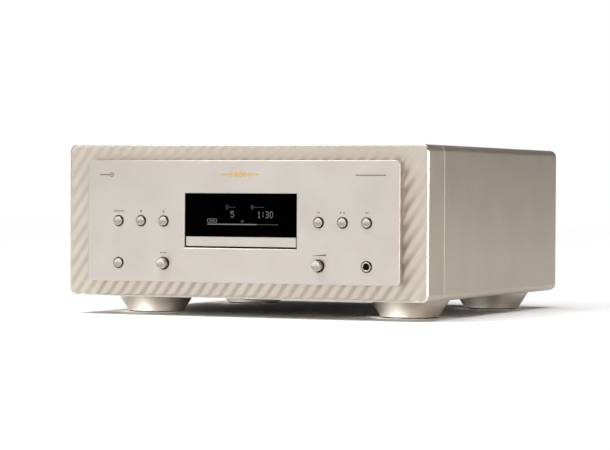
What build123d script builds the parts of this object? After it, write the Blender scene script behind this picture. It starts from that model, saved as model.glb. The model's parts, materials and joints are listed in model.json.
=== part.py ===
from build123d import *
import math
import os

# CD player: a front-loading hi-fi component with a floating front plate, a disc drawer and
# a complete loading and reading mechanism inside.
# Millimetres. +X is right and +Y is back, seen from the front, and +Z is up. The origin is the
# middle of the footprint, on the surface that the feet stand on.

# Overall sizes
overall_width = 440.0
body_height = 172.0
foot_height = 21.0
body_depth = 439.0
plate_standoff = 10.0
knob_protrusion = 8.0
rear_reach = 8.0
overall_depth = knob_protrusion + plate_standoff + body_depth + rear_reach

body_bottom = foot_height
body_top = foot_height + body_height
body_middle = foot_height + body_height / 2
bezel_front = -overall_depth / 2 + knob_protrusion + plate_standoff
plate_front = bezel_front - plate_standoff
case_rear = bezel_front + body_depth

# Clearances
panel_gap = 0.3
stop_clearance = 0.3
running_clearance = 0.05
slide_clearance = 0.4

# Case
corner_radius = 8.0
case_wall = 5.0
bezel_depth = 49.0
bezel_wall = 6.0
edge_chamfer = 0.8
side_lip = 14.0
chassis_wall = 2.0
chassis_flange = 15.0
chassis_half = overall_width / 2 - side_lip - 0.5
cover_half = overall_width / 2 - side_lip - panel_gap
case_front = bezel_front + bezel_depth + panel_gap
floor_top = body_bottom + case_wall
roof_bottom = body_top - case_wall
chassis_wall_top = body_top - bezel_wall - 0.5
rear_panel_thickness = 3.0
rear_panel_face = case_rear - 2.5
chassis_rear = rear_panel_face - rear_panel_thickness - 1.0

# Drawer: everything across it follows from the disc well, and everything up it from its floor
well_radius = 60.8
well_depth = 4.6
small_well_radius = 40.6
small_well_depth = 1.2
slot_half = 18.0
tray_half = well_radius + 2.7
tongue_half = tray_half + 3.5
tray_thickness = 8.8
tray_length = 190.0
tray_travel = 145.0
lid_height = 10.9
lid_thickness = 8.0
lid_recess = 1.5
lid_side_gap = 1.2
lid_bottom_gap = 2.0

# Front plate and what passes through it
plate_width = overall_width - 58.0
plate_height = body_height - 35.6
plate_radius = 6.0
plate_thickness = 8.0
plate_back = plate_front + plate_thickness
service_height = plate_height - 34.4
service_z = body_middle - 6.0
guide_inset = 5.0
window_half = tongue_half + 1.7
window_low = body_middle - 29.7
window_high = body_middle + 31.6
upper_row_z = body_middle
lower_row_z = body_middle - 47.6
column_pitch = 28.5
column_x = [window_half + 26.3 + column * column_pitch for column in range(3)]
service_width = 2 * (column_x[-1] + 18.0)
button_radius = 6.0
button_hole_radius = button_radius + stop_clearance
button_protrusion = 2.0
power_protrusion = 1.2
button_cap_length = 9.0
button_stem_radius = 2.5
button_travel = 0.8
knob_radius = 7.0
knob_hole_radius = knob_radius + slide_clearance
knob_shaft_radius = 3.0
jack_ring_radius = 6.25
jack_bore_radius = 3.25
jack_protrusion = 1.5

# Drawer places
lid_half = window_half - lid_side_gap
lid_low = window_low + lid_bottom_gap
lid_high = lid_low + lid_height
lid_front = plate_front + lid_recess
tray_low = lid_low + 0.3
tray_high = tray_low + tray_thickness
tray_front = lid_front + lid_thickness
tray_rear = tray_front + tray_length
tongue_low = tray_high - 2.2
disc_y = tray_front + 72.0
well_floor = tray_high - well_depth
small_well_floor = well_floor - small_well_depth

# Gears: 20 degree full-depth teeth
gear_module = 1.0
tooth_pitch = math.pi * gear_module
pressure_angle = math.radians(20.0)
addendum = gear_module
dedendum = 1.25 * gear_module
tooth_backlash = 0.12
loading_teeth = 18
sled_teeth = 12
loading_pitch_radius = loading_teeth * gear_module / 2
sled_pitch_radius = sled_teeth * gear_module / 2

# Mechanism frame
frame_front = bezel_front + 11.5
frame_rear = tray_rear + 5.0
frame_floor_high = tray_low - 17.1
frame_floor_low = frame_floor_high - 2.5
wall_inner = tongue_half + slide_clearance
wall_outer = wall_inner + 4.0
ledge_inner = tray_half + 0.7
ledge_low = tongue_low - 2.0
frame_left = -wall_outer - 8.6
frame_right = wall_outer + 20.6
cover_low = tray_high + 3.6
cover_high = cover_low + 1.2

# Loading drive, beside the drawer
tray_rack_line = tray_half + 2.1
rack_low = tray_low + 0.6
rack_high = rack_low + 3.6
loading_x = tray_rack_line + loading_pitch_radius
loading_y = frame_front + 13.0
loading_motor_y = loading_y + 40.0
motor_shaft_radius = 1.0
shaft_hole_radius = 1.5
belt_low = tray_low - 7.5
belt_high = belt_low + 1.8
belt_thickness = 1.2
belt_gap = 0.1
groove_low = belt_low - stop_clearance
groove_high = belt_high + stop_clearance
big_pulley_groove = 10.9
small_pulley_groove = 2.9

# Clamper, in its seat above the disc
disc_thickness = 1.2
puck_low = tray_high + 0.7
puck_boss_radius = 13.0
puck_flange_radius = puck_boss_radius + 4.0
puck_flange_low = cover_high + stop_clearance

# Traverse: the sub-chassis that lifts the spindle and the pickup to the disc
lift_travel = 9.0
traverse_low = tray_low - 13.6
traverse_high = traverse_low + 2.0
traverse_front = disc_y - 15.0
traverse_rear = disc_y + 99.0
guide_post_radius = 2.0
guide_post_ys = (disc_y - 7.0, disc_y + 91.0)
guide_posts = [(x, y) for x in (-36.0, 36.0) for y in guide_post_ys]
bush_gap = 0.3
disc_seat = puck_low - 0.2 - disc_thickness - lift_travel
seat_radius = 14.5
hub_radius = 7.4
hub_height = 3.3
spindle_radius = 1.5
rail_x = 18.0
rail_z = traverse_low - 5.0
rail_radius = 1.5
rail_front = disc_y + 6.0
rail_rear = disc_y + 98.0
sled_travel = 36.0
sled_front = disc_y + 12.5
sled_rear = sled_front + 27.5
sled_half = 22.0
lens_y = disc_y + 23.0
lens_base = traverse_low + 8.0
sled_rack_line = sled_half + 3.0
sled_gear_x = sled_rack_line + sled_pitch_radius
sled_gear_y = disc_y + 52.0
sled_gear_low = traverse_low - 4.0
sled_gear_high = sled_gear_low + 3.0
sled_shelf_high = sled_gear_low - 1.0
sled_shelf_low = sled_shelf_high - 2.0
sled_arm_right = sled_gear_x + 15.0

# Boards: the front control board, and three that lie on bosses on the chassis floor
board_thickness = 1.6
control_board_rear = frame_front - 1.4
control_board_front = control_board_rear - board_thickness
switch_height = 3.5
board_low = floor_top + 8.0
board_high = board_low + board_thickness
board_edge = chassis_half - 7.5
rear_bay = rear_panel_face - frame_rear
bay_scale = rear_bay / 242.0
power_board_size = (114.0, rear_bay - 39.0)
digital_board_size = (94.0, 145.0)
audio_board_size = (270.0, rear_bay - 52.0)
power_board_corner = (-board_edge, rear_panel_face - 19.0 - power_board_size[1])
digital_board_corner = (board_edge - digital_board_size[0], bezel_front + 64.5)
audio_board_corner = (board_edge - audio_board_size[0], rear_panel_face - 24.0 - audio_board_size[1])

# Feet
foot_x = overall_width / 2 - 60.0
foot_front_y = bezel_front + 100.5
foot_rear_y = case_rear - 66.5
foot_top_radius = 43.2
foot_bottom_radius = 33.6
foot_chamfer = 0.9
pad_radius = 30.7
pad_hole_radius = 9.0
pad_lift = 1.2
pad_seat = 3.0
foot_screw_radius = 3.0
foot_bore_radius = 3.3
foot_screw_head_radius = 6.5
foot_counterbore_radius = 8.0
foot_counterbore_top = 9.0
foot_places = {
    "front_left": (-foot_x, foot_front_y),
    "front_right": (foot_x, foot_front_y),
    "rear_left": (-foot_x, foot_rear_y),
    "rear_right": (foot_x, foot_rear_y),
}

# Fasteners: one size of countersunk screw throughout the case
screw_radius = 1.95
screw_hole_radius = 2.1
screw_head_radius = 4.0
screw_length = 10.0

# Rear sockets, in two rows
upper_socket_z = body_middle + 3.0
lower_socket_z = body_middle - 29.0
rca_radius = 4.15
rca_length = rear_reach + case_rear - rear_panel_face
rca_places = [(60.0, upper_socket_z), (90.0, upper_socket_z)]
digital_rca_places = [(-60.0, upper_socket_z), (-36.0, upper_socket_z)]
optical_places = [(-60.0, lower_socket_z), (-36.0, lower_socket_z)]
usb_place = (-8.0, lower_socket_z)
xlr_places = [(130.0, upper_socket_z), (170.0, upper_socket_z)]
xlr_cavity_radius = 9.3
xlr_body_radius = 11.8
inlet_place = (-160.0, lower_socket_z)

os.makedirs("parts", exist_ok=True)


def save(piece, name):
    """Labels a finished piece and writes it to its own file."""
    piece.part.label = name
    export_step(piece.part, f"parts/{name}.step")


def facing_front(y):
    """The upright plane at depth y: its sketch axes are X and Z, and it faces the front."""
    return Plane.XZ.offset(-y)


def block(low, high, mode=Mode.ADD):
    """A box between two opposite corners, in the piece being built."""
    with Locations(low):
        Box(*(b - a for a, b in zip(low, high)), align=(Align.MIN,) * 3, mode=mode)


def rod_y(x, z, front, rear, radius, mode=Mode.ADD):
    """A round bar along Y, in the piece being built."""
    with BuildSketch(facing_front(rear)) as section:
        with Locations((x, z)):
            Circle(radius)
    extrude(section.sketch, amount=rear - front, mode=mode)


def rod_z(x, y, low, high, radius, mode=Mode.ADD):
    """A round bar along Z, in the piece being built."""
    with BuildSketch(Plane.XY.offset(low)) as section:
        with Locations((x, y)):
            Circle(radius)
    extrude(section.sketch, amount=high - low, mode=mode)


def countersunk_screw(head_plane):
    """One case screw, its flat head lying in the plane and its shank behind it."""
    head_height = screw_head_radius - screw_radius
    with Locations(head_plane):
        Cone(screw_radius, screw_head_radius, head_height, align=(Align.CENTER, Align.CENTER, Align.MAX))
        Cylinder(screw_radius, screw_length, align=(Align.CENTER, Align.CENTER, Align.MAX))


def screw_hole(head_plane, depth):
    """The countersunk clearance hole for a case screw."""
    with Locations(head_plane):
        CounterSinkHole(screw_hole_radius, screw_head_radius + 0.15, depth, counter_sink_angle=90)


def involute_flank(base_radius, outer_radius, steps=6):
    """Radius and turned angle of points along an involute, from the base circle outwards."""
    flank = []
    for step in range(steps + 1):
        radius = base_radius + (outer_radius - base_radius) * step / steps
        roll = math.sqrt(max((radius / base_radius) ** 2 - 1, 0.0))
        flank.append((radius, roll - math.atan(roll)))
    return flank


def gear_outline(teeth, gap_angle):
    """Corner points of an involute gear that has a gap centred on gap_angle, in radians."""
    pitch_radius = teeth * gear_module / 2
    base_radius = pitch_radius * math.cos(pressure_angle)
    root_radius = pitch_radius - dedendum
    flank = involute_flank(base_radius, pitch_radius + addendum)
    pitch_roll = math.tan(pressure_angle) - pressure_angle
    half_tooth = (tooth_pitch / 2 - tooth_backlash) / 2 / pitch_radius
    outline = []
    for tooth in range(teeth):
        middle = gap_angle + (tooth + 0.5) * 2 * math.pi / teeth
        rising = [(r, middle - half_tooth - pitch_roll + turn) for r, turn in flank]
        falling = [(r, middle + half_tooth + pitch_roll - turn) for r, turn in reversed(flank)]
        roots = [(root_radius, rising[0][1]), (root_radius, falling[-1][1])]
        for radius, angle in [roots[0], *rising, *falling, roots[1]]:
            outline.append((radius * math.cos(angle), radius * math.sin(angle)))
    return outline


def gear_wheel(x, y, low, high, teeth):
    """A spur gear about Z whose gap faces -X, where its rack runs."""
    with BuildSketch(Plane.XY.offset(low)) as section:
        with BuildLine():
            Polyline([(x + px, y + py) for px, py in gear_outline(teeth, math.pi)], close=True)
        make_face()
    extrude(section.sketch, amount=high - low)


def rack_bar(back_x, line_x, low, high, ends, tooth_ys):
    """A rack along Y: its teeth face +X and its pitch line is at line_x."""
    half_pitch_tooth = (tooth_pitch / 2 - tooth_backlash) / 2
    slope = math.tan(pressure_angle)
    root_x = line_x - dedendum
    tip_x = line_x + addendum
    root_half = half_pitch_tooth + dedendum * slope
    tip_half = half_pitch_tooth - addendum * slope
    with BuildSketch(Plane.XY.offset(low)) as section:
        with BuildLine():
            points = [(back_x, ends[0]), (root_x, ends[0])]
            for y in tooth_ys:
                points += [(root_x, y - root_half), (tip_x, y - tip_half)]
                points += [(tip_x, y + tip_half), (root_x, y + root_half)]
            points += [(root_x, ends[1]), (back_x, ends[1])]
            Polyline(points, close=True)
        make_face()
    extrude(section.sketch, amount=high - low)


# ---------------------------------------------------------------- case

plate_screw_x = plate_width / 2 - 11.0
plate_screw_rise = plate_height / 2 - 9.2
plate_screw_places = [
    (x, body_middle + rise)
    for x in (-plate_screw_x, plate_screw_x)
    for rise in (-plate_screw_rise, 0, plate_screw_rise)
]
roof_screw_x = chassis_half - 9.5
roof_screw_ys = (case_front + 15.0, (case_front + case_rear) / 2, case_rear - 19.5)
roof_screw_places = [(x, y) for x in (-roof_screw_x, roof_screw_x) for y in roof_screw_ys]
plate_screw_planes = [
    Plane(origin=(x, bezel_front + bezel_wall, z), x_dir=(1, 0, 0), z_dir=(0, 1, 0))
    for x, z in plate_screw_places
]
roof_screw_planes = [Plane(origin=(x, y, body_top)) for x, y in roof_screw_places]

with BuildPart() as front_bezel:
    with BuildSketch(facing_front(bezel_front + bezel_depth)) as outside:
        with Locations((0, body_middle)):
            RectangleRounded(overall_width, body_height, corner_radius)
    extrude(outside.sketch, amount=bezel_depth)
    chamfer(front_bezel.faces().sort_by(Axis.Y)[0].outer_wire().edges(), edge_chamfer)
    with BuildSketch(facing_front(bezel_front + bezel_depth)) as hollow:
        with Locations((0, body_middle)):
            RectangleRounded(
                overall_width - 2 * bezel_wall, body_height - 2 * bezel_wall, corner_radius / 2
            )
    extrude(hollow.sketch, amount=bezel_depth - bezel_wall, mode=Mode.SUBTRACT)
    with BuildSketch(facing_front(bezel_front + bezel_wall)) as service_opening:
        with Locations((0, service_z)):
            RectangleRounded(service_width, service_height, plate_radius)
    extrude(service_opening.sketch, amount=bezel_wall, mode=Mode.SUBTRACT)
    for head_plane in plate_screw_planes:
        screw_hole(head_plane, bezel_wall)
save(front_bezel, "front_bezel")


def side_panel(side):
    """One thick side panel: a rounded upright with a lip over the roof and one under the floor."""
    lip_middle = side * (overall_width / 2 - side_lip / 2)
    with BuildPart() as panel:
        with BuildSketch(facing_front(case_rear)) as section:
            with Locations((0, body_middle)):
                RectangleRounded(overall_width, body_height, corner_radius)
                RectangleRounded(
                    overall_width - 2 * case_wall,
                    body_height - 2 * case_wall,
                    corner_radius - case_wall,
                    mode=Mode.SUBTRACT,
                )
            with Locations((lip_middle, body_middle)):
                Rectangle(side_lip, body_height, mode=Mode.INTERSECT)
        extrude(section.sketch, amount=case_rear - case_front)
    return panel


save(side_panel(-1), "left_side_panel")
save(side_panel(1), "right_side_panel")

with BuildPart() as top_cover:
    block((-cover_half, case_front, roof_bottom), (cover_half, case_rear, body_top))
    for side in (-1, 1):
        with BuildSketch(Plane.XY.offset(roof_bottom)) as vents:
            with Locations((side * overall_width / 4, case_rear - 114.5)):
                with GridLocations(9, 70, 14, 2):
                    SlotOverall(60, 3, rotation=90)
        extrude(vents.sketch, amount=case_wall, mode=Mode.SUBTRACT)
    for head_plane in roof_screw_planes:
        screw_hole(head_plane, case_wall)
save(top_cover, "top_cover")


def board_corners(corner, size, inset=6.0):
    """The four places where a board stands on its bosses."""
    return [
        (corner[0] + x, corner[1] + y)
        for x in (inset, size[0] - inset)
        for y in (inset, size[1] - inset)
    ]


boss_places = (
    board_corners(power_board_corner, power_board_size)
    + board_corners(digital_board_corner, digital_board_size)
    + board_corners(audio_board_corner, audio_board_size)
)

with BuildPart() as base_chassis:
    block((-cover_half, case_front, body_bottom), (cover_half, case_rear, floor_top))
    for side in (-1, 1):
        inner, outer = sorted((side * (chassis_half - chassis_wall), side * chassis_half))
        block((inner, frame_front, floor_top + 4), (outer, chassis_rear, chassis_wall_top))
        block((inner, case_front, floor_top), (outer, chassis_rear, floor_top + 4))
        inner, outer = sorted((side * (chassis_half - chassis_wall - chassis_flange), side * chassis_half))
        block(
            (inner, case_front, chassis_wall_top - chassis_wall),
            (outer, chassis_rear, chassis_wall_top),
        )
    for x, y in boss_places:
        rod_z(x, y, floor_top, board_low, 3.0)
    for x, y in roof_screw_places:
        rod_z(x, y, chassis_wall_top - 3, chassis_wall_top, screw_hole_radius, mode=Mode.SUBTRACT)
    for x, y in foot_places.values():
        rod_z(x, y, body_bottom, floor_top, foot_screw_radius + 0.2, mode=Mode.SUBTRACT)
save(base_chassis, "base_chassis")

with BuildPart() as rear_panel:
    with BuildSketch(facing_front(rear_panel_face)) as outline:
        with Locations((0, body_middle)):
            RectangleRounded(
                overall_width - 2 * (case_wall + panel_gap),
                body_height - 2 * (case_wall + panel_gap),
                corner_radius - case_wall,
            )
    extrude(outline.sketch, amount=rear_panel_thickness)
    front_side = rear_panel_face - rear_panel_thickness
    for x, z in rca_places + digital_rca_places:
        rod_y(x, z, front_side, rear_panel_face, 3.5, mode=Mode.SUBTRACT)
    for x, z in xlr_places:
        rod_y(x, z, front_side, rear_panel_face, xlr_body_radius + 0.2, mode=Mode.SUBTRACT)
    with BuildSketch(facing_front(rear_panel_face)) as cutouts:
        with Locations(inlet_place):
            Rectangle(30.4, 22.4)
        with Locations(*optical_places):
            Rectangle(11.4, 11.4)
        with Locations(usb_place):
            Rectangle(12.4, 11.4)
    extrude(cutouts.sketch, amount=rear_panel_thickness, mode=Mode.SUBTRACT)
save(rear_panel, "rear_panel")

with BuildPart() as case_screws:
    for head_plane in plate_screw_planes + roof_screw_planes:
        countersunk_screw(head_plane)
save(case_screws, "case_screws")

# ---------------------------------------------------------------- feet


def foot(x, y):
    """A turned foot, wide at the top, with a seat for its pad and a hole for its screw."""
    with BuildPart() as turned:
        with BuildSketch(Plane(origin=(x, y, 0), x_dir=(1, 0, 0), z_dir=(0, -1, 0))) as profile:
            with BuildLine():
                Polyline(
                    (foot_bore_radius, foot_counterbore_top),
                    (foot_counterbore_radius, foot_counterbore_top),
                    (foot_counterbore_radius, pad_seat),
                    (pad_radius + 0.2, pad_seat),
                    (pad_radius + 0.2, pad_lift),
                    (foot_bottom_radius - foot_chamfer, pad_lift),
                    (foot_bottom_radius, pad_lift + foot_chamfer),
                    (foot_top_radius, body_bottom),
                    (foot_bore_radius, body_bottom),
                    close=True,
                )
            make_face()
        revolve(profile.sketch, axis=Axis((x, y, 0), (0, 0, 1)))
    return turned


for place, (x, y) in foot_places.items():
    save(foot(x, y), f"foot_{place}")

with BuildPart() as foot_pads:
    for x, y in foot_places.values():
        with BuildSketch(Plane.XY) as ring:
            with Locations((x, y)):
                Circle(pad_radius)
                Circle(pad_hole_radius, mode=Mode.SUBTRACT)
        extrude(ring.sketch, amount=pad_seat)
save(foot_pads, "foot_pads")

with BuildPart() as foot_screws:
    for x, y in foot_places.values():
        rod_z(x, y, foot_counterbore_top - 4, foot_counterbore_top, foot_screw_head_radius)
        rod_z(x, y, foot_counterbore_top, floor_top + 5, foot_screw_radius)
save(foot_screws, "foot_screws")

# ---------------------------------------------------------------- front plate and controls

upper_buttons = {
    "sound_mode_button": -column_x[2],
    "stop_button": -column_x[1],
    "eject_button": -column_x[0],
    "previous_button": column_x[0],
    "play_pause_button": column_x[1],
    "next_button": column_x[2],
}
knobs = {"input_knob": -column_x[0], "phones_level_knob": column_x[0]}
power_x = -column_x[2]
jack_x = column_x[2]
button_places = [(x, upper_row_z) for x in upper_buttons.values()] + [(power_x, lower_row_z)]

with BuildPart() as center_plate:
    with BuildSketch(facing_front(plate_back)) as outline:
        with Locations((0, body_middle)):
            RectangleRounded(plate_width, plate_height, plate_radius)
    extrude(outline.sketch, amount=plate_thickness)
    chamfer(center_plate.faces().sort_by(Axis.Y)[0].outer_wire().edges(), edge_chamfer)
    with BuildSketch(facing_front(plate_back)) as window:
        with Locations((0, (window_low + window_high) / 2)):
            Rectangle(2 * window_half, window_high - window_low)
    extrude(window.sketch, amount=plate_thickness, mode=Mode.SUBTRACT)
    for x, z in button_places:
        rod_y(x, z, plate_front, plate_back, button_hole_radius, mode=Mode.SUBTRACT)
    for x in knobs.values():
        rod_y(x, lower_row_z, plate_front, plate_back, knob_hole_radius, mode=Mode.SUBTRACT)
    rod_y(jack_x, lower_row_z, plate_front, plate_back, jack_ring_radius + 0.1, mode=Mode.SUBTRACT)
    for x, z in plate_screw_places:
        rod_y(x, z, plate_back - 5, plate_back, screw_radius + 0.02, mode=Mode.SUBTRACT)
save(center_plate, "center_plate")

with BuildPart() as light_guide:
    with BuildSketch(facing_front(bezel_front)) as ring:
        with Locations((0, body_middle)):
            RectangleRounded(plate_width - 2 * guide_inset, plate_height - 2 * guide_inset, plate_radius)
        with Locations((0, service_z)):
            RectangleRounded(service_width, service_height, plate_radius, mode=Mode.SUBTRACT)
        with Locations(*plate_screw_places):
            Circle(screw_hole_radius, mode=Mode.SUBTRACT)
    extrude(ring.sketch, amount=bezel_front - plate_back)
save(light_guide, "light_guide")

with BuildPart() as display_window:
    block(
        (-window_half + slide_clearance, plate_front + 1.0, lid_high + 0.7),
        (window_half - slide_clearance, plate_front + 4.0, window_high - slide_clearance),
    )
save(display_window, "display_window")

with BuildPart() as display_module:
    low = (-window_half + 2.7, plate_front + 4.2, lid_high + 1.8)
    high = (window_half - 2.7, control_board_front, window_high - 1.6)
    block(low, high)
    block(
        (low[0] + 4, low[1], low[2] + 3), (high[0] - 4, low[1] + 0.8, high[2] - 3), mode=Mode.SUBTRACT
    )
save(display_module, "display_module")


def push_button(x, z, protrusion):
    """A round button: a cap that fills its hole and a stem that ends just short of its switch."""
    cap_front = plate_front - protrusion
    stem_end = control_board_front - switch_height - button_travel - stop_clearance
    with BuildPart() as button:
        rod_y(x, z, cap_front, cap_front + button_cap_length, button_radius)
        rod_y(x, z, cap_front + button_cap_length, stem_end, button_stem_radius)
        chamfer(button.edges().filter_by(GeomType.CIRCLE).sort_by(Axis.Y)[0], 0.4)
    return button


for name, x in upper_buttons.items():
    save(push_button(x, upper_row_z, button_protrusion), name)
save(push_button(power_x, lower_row_z, power_protrusion), "power_button")


def turning_knob(x):
    """A round knob with a shallow dished face, on a shaft that runs in its control's bush."""
    knob_face = plate_front - knob_protrusion
    with BuildPart() as knob:
        rod_y(x, lower_row_z, knob_face, plate_back - 1, knob_radius)
        rod_y(x, lower_row_z, plate_back - 1, control_board_front - 2, knob_shaft_radius)
        chamfer(knob.edges().filter_by(GeomType.CIRCLE).sort_by(Axis.Y)[0], 0.5)
        rod_y(x, lower_row_z, knob_face, knob_face + 0.4, knob_radius - 1.0, mode=Mode.SUBTRACT)
    return knob


def rotary_control(x):
    """The fixed part of an encoder or potentiometer: its case on the board, and its bush."""
    with BuildPart() as control:
        block(
            (x - 7, control_board_front - 5, lower_row_z - 7), (x + 7, control_board_front, lower_row_z + 7)
        )
        rod_y(x, lower_row_z, control_board_front - 8, control_board_front - 5, 4.5)
        rod_y(
            x,
            lower_row_z,
            control_board_front - 8,
            control_board_front - 1,
            knob_shaft_radius + running_clearance,
            mode=Mode.SUBTRACT,
        )
    return control


for name, x in knobs.items():
    save(turning_knob(x), name)
save(rotary_control(knobs["input_knob"]), "input_encoder")
save(rotary_control(knobs["phones_level_knob"]), "level_potentiometer")

jack_face = plate_front - jack_protrusion
jack_rear = control_board_rear + 14
with BuildPart() as phones_jack:
    rod_y(jack_x, lower_row_z, jack_face, jack_rear, jack_ring_radius)
    rod_y(jack_x, lower_row_z, jack_face, jack_rear - 2, jack_bore_radius, mode=Mode.SUBTRACT)
    mouth = phones_jack.edges().filter_by(GeomType.CIRCLE).group_by(Axis.Y)[0].sort_by(SortBy.RADIUS)[0]
    chamfer(mouth, 0.8)
save(phones_jack, "phones_jack")

with BuildPart() as front_control_board:
    with BuildSketch(facing_front(control_board_rear)) as sheet:
        with Locations((0, body_middle - 10)):
            Rectangle(2 * column_x[-1] + 28, 94)
        with Locations((0, (tray_low + tray_high) / 2)):
            Rectangle(2 * tongue_half + 16, tray_thickness + 5.2, mode=Mode.SUBTRACT)
        with Locations((jack_x, lower_row_z)):
            Circle(jack_ring_radius + 0.6, mode=Mode.SUBTRACT)
    extrude(sheet.sketch, amount=board_thickness)
    for x, z in button_places:
        block((x - 3, control_board_front - switch_height, z - 3), (x + 3, control_board_front, z + 3))
save(front_control_board, "front_control_board")

# ---------------------------------------------------------------- drawer

with BuildPart() as drawer_front:
    block((-lid_half, lid_front, lid_low), (lid_half, tray_front, lid_high))
    chamfer(drawer_front.faces().sort_by(Axis.Y)[0].outer_wire().edges(), 0.4)
save(drawer_front, "drawer_front")

tray_rack_ys = [loading_y + k * tooth_pitch for k in range(-2, math.ceil(tray_travel / tooth_pitch) + 2)]
with BuildPart() as disc_tray:
    block((-tray_half, tray_front, tray_low), (tray_half, tray_rear, tray_high))
    for side in (-1, 1):
        inner, outer = sorted((side * tray_half, side * tongue_half))
        block((inner, frame_front + 1, tongue_low), (outer, tray_rear, tray_high))
    rod_z(0, disc_y, well_floor, tray_high, well_radius, mode=Mode.SUBTRACT)
    rod_z(0, disc_y, small_well_floor, well_floor, small_well_radius, mode=Mode.SUBTRACT)
    rod_z(0, disc_y, tray_low, small_well_floor, slot_half, mode=Mode.SUBTRACT)
    block((-slot_half, disc_y, tray_low), (slot_half, tray_rear, tray_high), mode=Mode.SUBTRACT)
    rack_ends = (tray_rack_ys[0] - 2.0, tray_rack_ys[-1] + 2.0)
    rack_bar(tray_half, tray_rack_line, rack_low, rack_high, rack_ends, tray_rack_ys)
save(disc_tray, "disc_tray")

# ---------------------------------------------------------------- mechanism frame and loading drive

with BuildPart() as mechanism_frame:
    block((frame_left, frame_front, frame_floor_low), (frame_right, frame_rear, frame_floor_high))
    block(
        (-27.0, traverse_front, frame_floor_low),
        (28.0, traverse_rear + 2, frame_floor_high),
        mode=Mode.SUBTRACT,
    )
    block(
        (28.0, sled_gear_y - 10, frame_floor_low),
        (sled_arm_right + 1, sled_gear_y + 10, frame_floor_high),
        mode=Mode.SUBTRACT,
    )
    for side in (-1, 1):
        for inner_x, low, high in (
            (wall_inner, frame_floor_high, cover_low),
            (ledge_inner, ledge_low, tongue_low - stop_clearance),
            (ledge_inner, tray_high + stop_clearance, tray_high + 2.0),
        ):
            inner, outer = sorted((side * inner_x, side * wall_outer))
            block((inner, frame_front, low), (outer, frame_rear, high))
    block(
        (ledge_inner, frame_front, frame_floor_high + 3.5),
        (wall_outer, loading_y + 14, ledge_low),
        mode=Mode.SUBTRACT,
    )
    block(
        (ledge_inner, frame_front, groove_low - 1.3),
        (wall_outer, loading_motor_y + 8, groove_high + 1.3),
        mode=Mode.SUBTRACT,
    )
    rod_z(
        loading_x, loading_motor_y, frame_floor_low, frame_floor_high, shaft_hole_radius, mode=Mode.SUBTRACT
    )
    rod_z(loading_x, loading_y, frame_floor_high, rack_high + 1.0, guide_post_radius)
    for x, y in guide_posts:
        rod_z(x, y, frame_floor_high, tray_low - 0.6, guide_post_radius)
    for x in (-58.0, 58.0):
        for y in (guide_post_ys[0], frame_rear - 9):
            rod_z(x, y, floor_top, frame_floor_low, 6.0)
save(mechanism_frame, "mechanism_frame")

with BuildPart() as mechanism_cover:
    block((frame_left, frame_front, cover_low), (frame_right, frame_rear, cover_high))
    rod_z(0, disc_y, cover_low, cover_high, puck_boss_radius + slide_clearance, mode=Mode.SUBTRACT)
save(mechanism_cover, "mechanism_cover")

with BuildPart() as clamper_puck:
    rod_z(0, disc_y, puck_low, puck_flange_low, puck_boss_radius)
    rod_z(0, disc_y, puck_flange_low, puck_flange_low + 2.0, puck_flange_radius)
    rod_z(0, disc_y, puck_low, puck_low + hub_height, hub_radius + 0.6, mode=Mode.SUBTRACT)
save(clamper_puck, "clamper_puck")


def grooved_pulley(x, y, groove_radius):
    """A flat-belt pulley with a flange on each side of its groove."""
    rod_z(x, y, groove_low - 1.0, groove_high + 1.0, groove_radius + 1.2)
    with BuildSketch(Plane.XY.offset(groove_low)) as groove:
        with Locations((x, y)):
            Circle(groove_radius + 2.0)
            Circle(groove_radius, mode=Mode.SUBTRACT)
    extrude(groove.sketch, amount=groove_high - groove_low, mode=Mode.SUBTRACT)


with BuildPart() as loading_gear:
    grooved_pulley(loading_x, loading_y, big_pulley_groove)
    rod_z(loading_x, loading_y, groove_high + 1.0, rack_low + 0.2, 5.0)
    gear_wheel(loading_x, loading_y, rack_low + 0.2, rack_high - 0.2, loading_teeth)
    rod_z(
        loading_x,
        loading_y,
        frame_floor_high,
        rack_high,
        guide_post_radius + running_clearance,
        mode=Mode.SUBTRACT,
    )
save(loading_gear, "loading_gear")

with BuildPart() as loading_motor:
    rod_z(loading_x, loading_motor_y, frame_floor_low - 20, frame_floor_low, 8.0)
    rod_z(loading_x, loading_motor_y, frame_floor_low, groove_high + 1.5, motor_shaft_radius)
save(loading_motor, "loading_motor")

with BuildPart() as motor_pulley:
    grooved_pulley(loading_x, loading_motor_y, small_pulley_groove)
    rod_z(
        loading_x,
        loading_motor_y,
        groove_low - 1.0,
        groove_high + 1.0,
        motor_shaft_radius + running_clearance,
        mode=Mode.SUBTRACT,
    )
save(motor_pulley, "motor_pulley")


def belt_loop(around):
    """The face inside a line around both pulleys, at the given height above their grooves."""
    with BuildSketch(Plane.XY.offset(belt_low)) as loop:
        with Locations((loading_x, loading_y)):
            Circle(big_pulley_groove + around)
        with Locations((loading_x, loading_motor_y)):
            Circle(small_pulley_groove + around)
        make_hull()
    return loop.sketch


with BuildPart() as drive_belt:
    extrude(belt_loop(belt_gap + belt_thickness), amount=belt_high - belt_low)
    extrude(belt_loop(belt_gap), amount=belt_high - belt_low, mode=Mode.SUBTRACT)
save(drive_belt, "drive_belt")

# ---------------------------------------------------------------- traverse

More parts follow.
